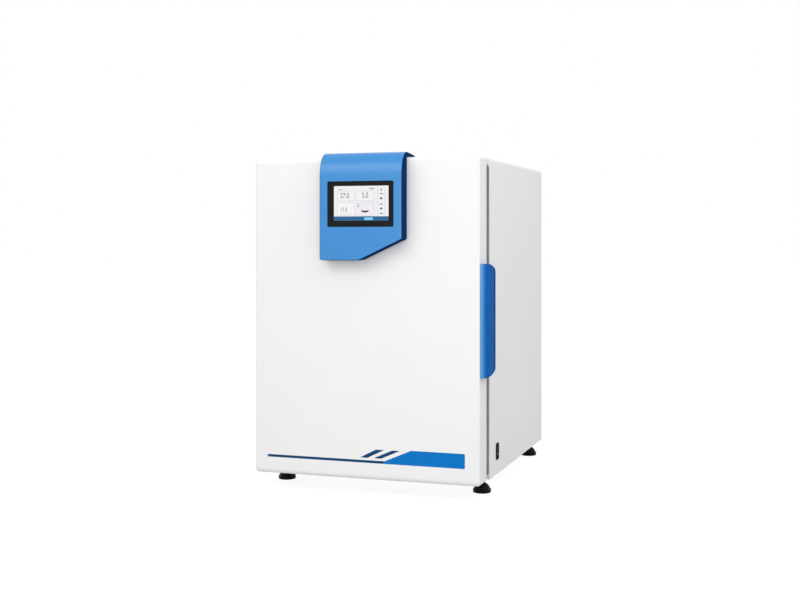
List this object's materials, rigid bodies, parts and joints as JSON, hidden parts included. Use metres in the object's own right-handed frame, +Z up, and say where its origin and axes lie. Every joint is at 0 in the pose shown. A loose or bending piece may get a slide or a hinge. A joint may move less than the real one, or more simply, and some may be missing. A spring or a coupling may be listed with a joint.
{
  "type": "carbon dioxide incubator",
  "caption": "Upright cell culture incubator with a solid outer door, a glass inner door, slotted shelves, a water pan and a blue control panel over the door's top.",
  "frame": {"origin": "on the floor, under the middle of the whole object's box", "axes": "+Z up, -Y out of the front with the doors and the control panel, +X to the right seen from the front"},
  "size_m": [0.638, 0.8094, 0.8855],
  "materials": {
    "white_paint": "satin",
    "stainless_steel": "satin",
    "plated_steel": "satin",
    "black_plastic": "satin",
    "grey_plastic": "matte",
    "blue_plastic": "gloss",
    "dark_rubber": "matte",
    "silicone": "matte",
    "foam": "matte",
    "filter_paper": "matte",
    "screen_glass": "gloss",
    "circuit_board": "satin",
    "clear_glass": "gloss"
  },
  "bodies": {
    "cabinet": {"access_port_sleeve": "silicone", "air_duct": "stainless_steel", "air_filter": "filter_paper", "base_tray": "plated_steel", "chamber": "stainless_steel", "data_port": "grey_plastic", "fan_motor": "plated_steel", "foot_locknut_front_left": "plated_steel", "foot_locknut_front_right": "plated_steel", "foot_locknut_rear_left": "plated_steel", "foot_locknut_rear_right": "plated_steel", "front_frame": "grey_plastic", "gas_inlet": "plated_steel", "gas_sensor": "silicone", "hinge_cabinet_leaf_lower": "plated_steel", "hinge_cabinet_leaf_upper": "plated_steel", "hinge_pin_lower": "plated_steel", "hinge_pin_upper": "plated_steel", "inner_hinge_bracket_lower": "plated_steel", "inner_hinge_bracket_upper": "plated_steel", "insulation": "foam", "latch_keeper": "black_plastic", "mains_inlet": "black_plastic", "outer_casing": "white_paint", "power_module": "plated_steel", "rear_panel": "white_paint", "service_cover": "white_paint", "shelf_rack_left": "stainless_steel", "shelf_rack_right": "stainless_steel", "switch_frame": "black_plastic", "temperature_probe": "plated_steel", "wall_spacer_left": "black_plastic", "wall_spacer_right": "black_plastic"},
    "outer_door": {"door_skin": "white_paint", "door_liner": "stainless_steel", "door_foam": "foam", "door_seal": "dark_rubber", "door_grip": "blue_plastic", "panel_housing": "blue_plastic", "display_bezel": "black_plastic", "touch_screen": "screen_glass", "control_board": "circuit_board", "hinge_door_leaf_lower": "plated_steel", "hinge_door_leaf_upper": "plated_steel"},
    "inner_door": {"inner_door_glass": "clear_glass", "inner_door_seal": "silicone", "inner_hinge_clamp_lower": "plated_steel", "inner_hinge_clamp_upper": "plated_steel"},
    "inner_door_latch": {"inner_latch": "black_plastic"},
    "lower_shelf": {"shelf_lower": "stainless_steel"},
    "middle_shelf": {"shelf_middle": "stainless_steel"},
    "upper_shelf": {"shelf_upper": "stainless_steel"},
    "water_pan": {"humidity_pan": "stainless_steel"},
    "impeller": {"fan_impeller": "grey_plastic"},
    "power_rocker": {"switch_rocker": "black_plastic"},
    "rear_port_plug": {"port_stopper": "dark_rubber"},
    "foot_front_left": {"levelling_foot_front_left": "dark_rubber"},
    "foot_front_right": {"levelling_foot_front_right": "dark_rubber"},
    "foot_rear_left": {"levelling_foot_rear_left": "dark_rubber"},
    "foot_rear_right": {"levelling_foot_rear_right": "dark_rubber"}
  },
  "joints": [
    {"name": "outer_door_hinge", "type": "hinge", "parent": "cabinet", "child": "outer_door", "pos_m": [-0.313, -0.27875, 0.457], "axis": [0, 0, -1], "range_deg": [0, 120]},
    {"name": "inner_door_hinge", "type": "hinge", "parent": "cabinet", "child": "inner_door", "pos_m": [-0.2745, -0.27255, 0.459], "axis": [0, 0, -1], "range_deg": [0, 105]},
    {"name": "latch_turn", "type": "hinge", "parent": "inner_door", "child": "inner_door_latch", "pos_m": [0.226, -0.27505, 0.459], "axis": [0, 1, 0], "range_deg": [0, 90]},
    {"name": "lower_shelf_slide", "type": "slide", "parent": "cabinet", "child": "lower_shelf", "axis": [0, -1, 0], "range_m": [0, 0.03]},
    {"name": "middle_shelf_slide", "type": "slide", "parent": "cabinet", "child": "middle_shelf", "axis": [0, -1, 0], "range_m": [0, 0.03]},
    {"name": "upper_shelf_slide", "type": "slide", "parent": "cabinet", "child": "upper_shelf", "axis": [0, -1, 0], "range_m": [0, 0.03]},
    {"name": "pan_slide", "type": "slide", "parent": "cabinet", "child": "water_pan", "axis": [0, -1, 0], "range_m": [0, 0.04]},
    {"name": "fan_spin", "type": "hinge", "parent": "cabinet", "child": "impeller", "pos_m": [-0.01, 0.24995, 0.669], "axis": [0, 1, 0], "continuous": true},
    {"name": "switch_rock", "type": "hinge", "parent": "cabinet", "child": "power_rocker", "pos_m": [0.295, -0.18425, 0.102], "axis": [0, 1, 0], "range_deg": [0, 10]},
    {"name": "stopper_pull", "type": "slide", "parent": "cabinet", "child": "rear_port_plug", "axis": [0, 1, 0], "range_m": [0, 0.055]},
    {"name": "foot_front_left_turn", "type": "hinge", "parent": "cabinet", "child": "foot_front_left", "pos_m": [-0.288, -0.22375, 0], "axis": [0, 0, 1], "continuous": true},
    {"name": "foot_front_right_turn", "type": "hinge", "parent": "cabinet", "child": "foot_front_right", "pos_m": [0.268, -0.22375, 0], "axis": [0, 0, 1], "continuous": true},
    {"name": "foot_rear_left_turn", "type": "hinge", "parent": "cabinet", "child": "foot_rear_left", "pos_m": [-0.288, 0.33675, 0], "axis": [0, 0, 1], "continuous": true},
    {"name": "foot_rear_right_turn", "type": "hinge", "parent": "cabinet", "child": "foot_rear_right", "pos_m": [0.268, 0.33675, 0], "axis": [0, 0, 1], "continuous": true}
  ],
  "couplings": [
    {"joint": "inner_door_hinge", "follows": "outer_door_hinge", "ratio": 0.875}
  ]
}
